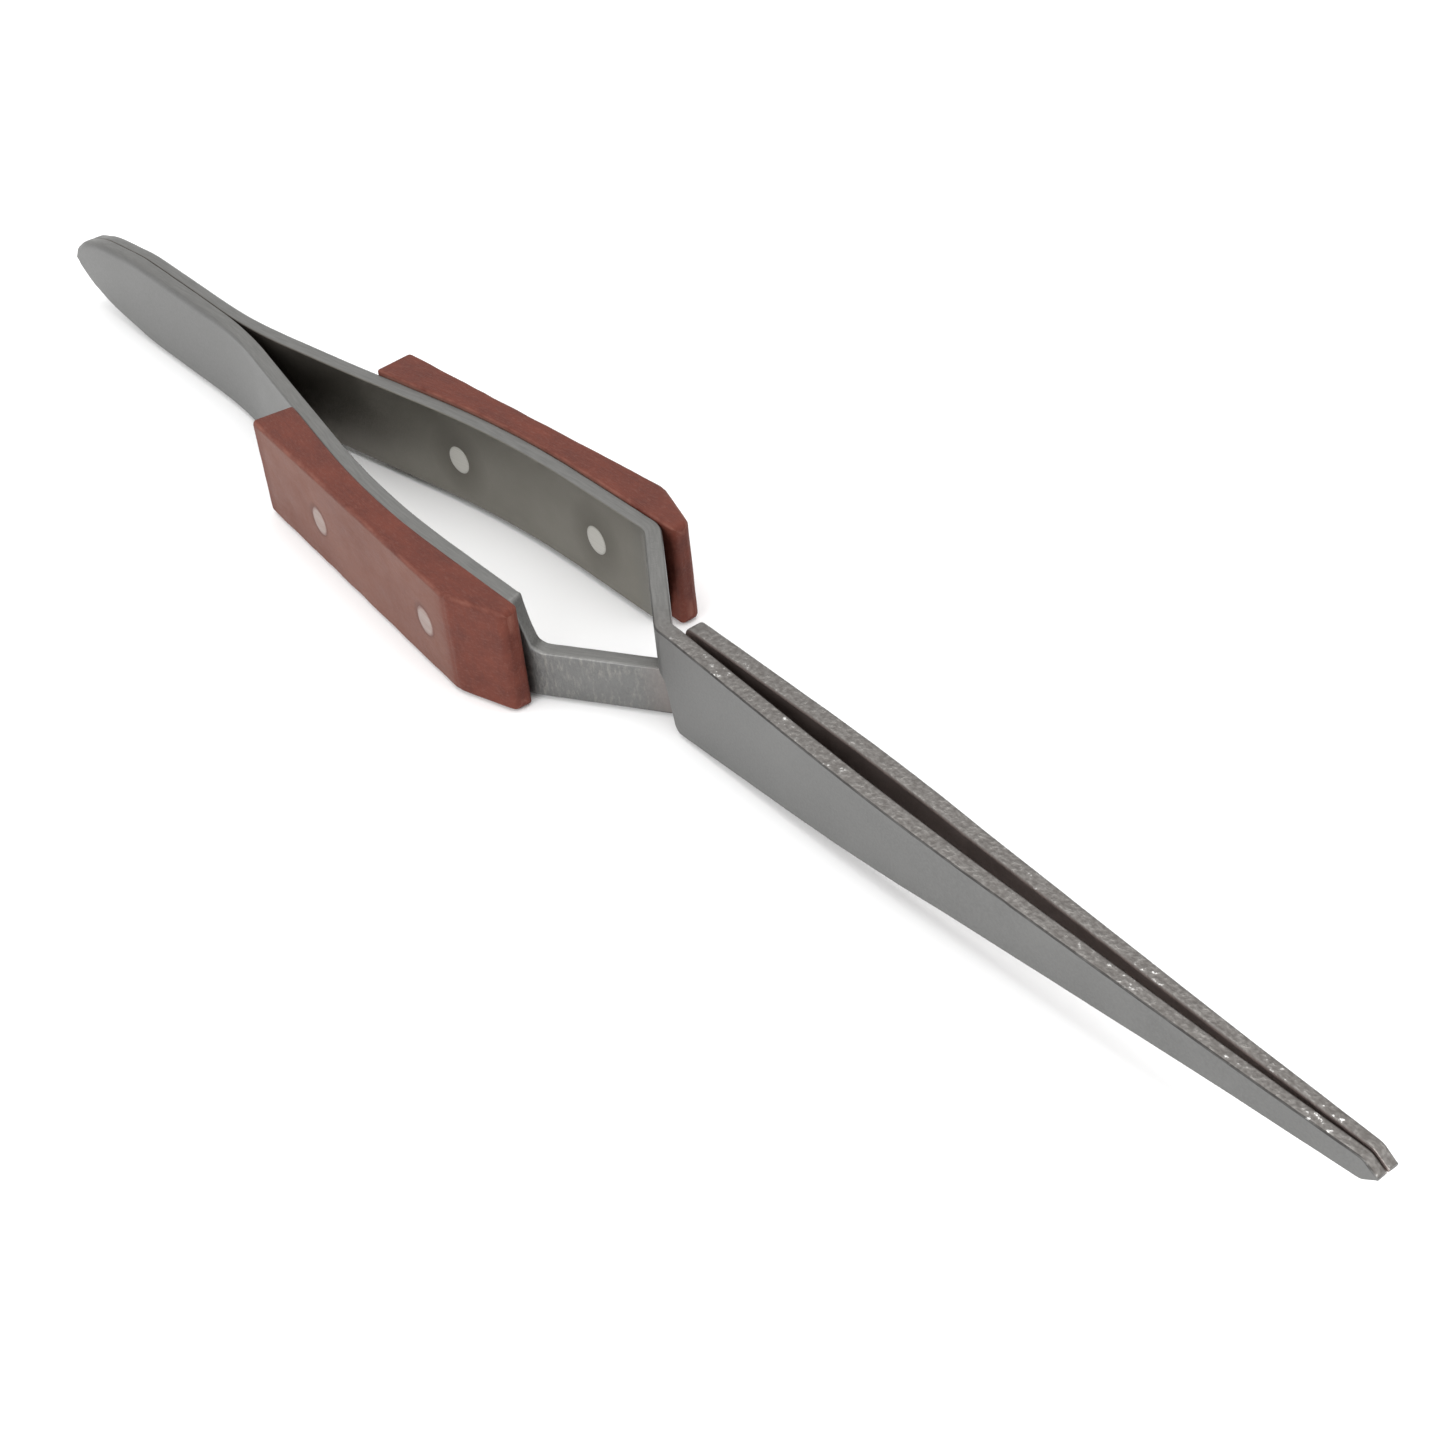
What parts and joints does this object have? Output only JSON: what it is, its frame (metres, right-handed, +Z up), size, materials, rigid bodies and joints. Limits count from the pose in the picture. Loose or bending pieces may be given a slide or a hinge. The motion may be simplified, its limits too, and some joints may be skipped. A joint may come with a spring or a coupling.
{
  "type": "cross-locking tweezers",
  "caption": "Cross-locking tweezers with crossed spring steel arms, riveted insulated grips and long tapered jaws that stay shut until squeezed.",
  "frame": {"origin": "middle of the length, on the plane the tweezers stand on with the edges of the strips upright, midway between the arms", "axes": "+X from the head to the jaw tips, +Y to the left arm, +Z up along the height of the strips"},
  "size_m": [0.165, 0.0212, 0.0092],
  "materials": {
    "spring_steel": "satin",
    "fibre": "matte",
    "rivet_metal": "satin"
  },
  "bodies": {
    "head": {"left_tail": "spring_steel", "right_tail": "spring_steel", "weld_rear": "spring_steel", "weld_front": "spring_steel"},
    "left_arm": {"left_arm_strip": "spring_steel", "left_grip": "fibre", "left_rivet_rear": "rivet_metal", "left_rivet_front": "rivet_metal"},
    "right_arm": {"right_arm_strip": "spring_steel", "right_grip": "fibre", "right_rivet_rear": "rivet_metal", "right_rivet_front": "rivet_metal"}
  },
  "joints": [
    {"name": "left_flex", "type": "hinge", "parent": "head", "child": "left_arm", "pos_m": [-0.0425, 0.00158, 0.0046], "axis": [0, 0, -1], "range_deg": [0, 4], "stiffness_Nm_per_rad": 2, "springref_deg": -1.72},
    {"name": "right_flex", "type": "hinge", "parent": "head", "child": "right_arm", "pos_m": [-0.0425, -0.00158, 0.0046], "axis": [0, 0, 1], "range_deg": [0, 4], "stiffness_Nm_per_rad": 2, "springref_deg": -1.72}
  ],
  "couplings": [
    {"joint": "right_flex", "follows": "left_flex", "ratio": 1}
  ]
}
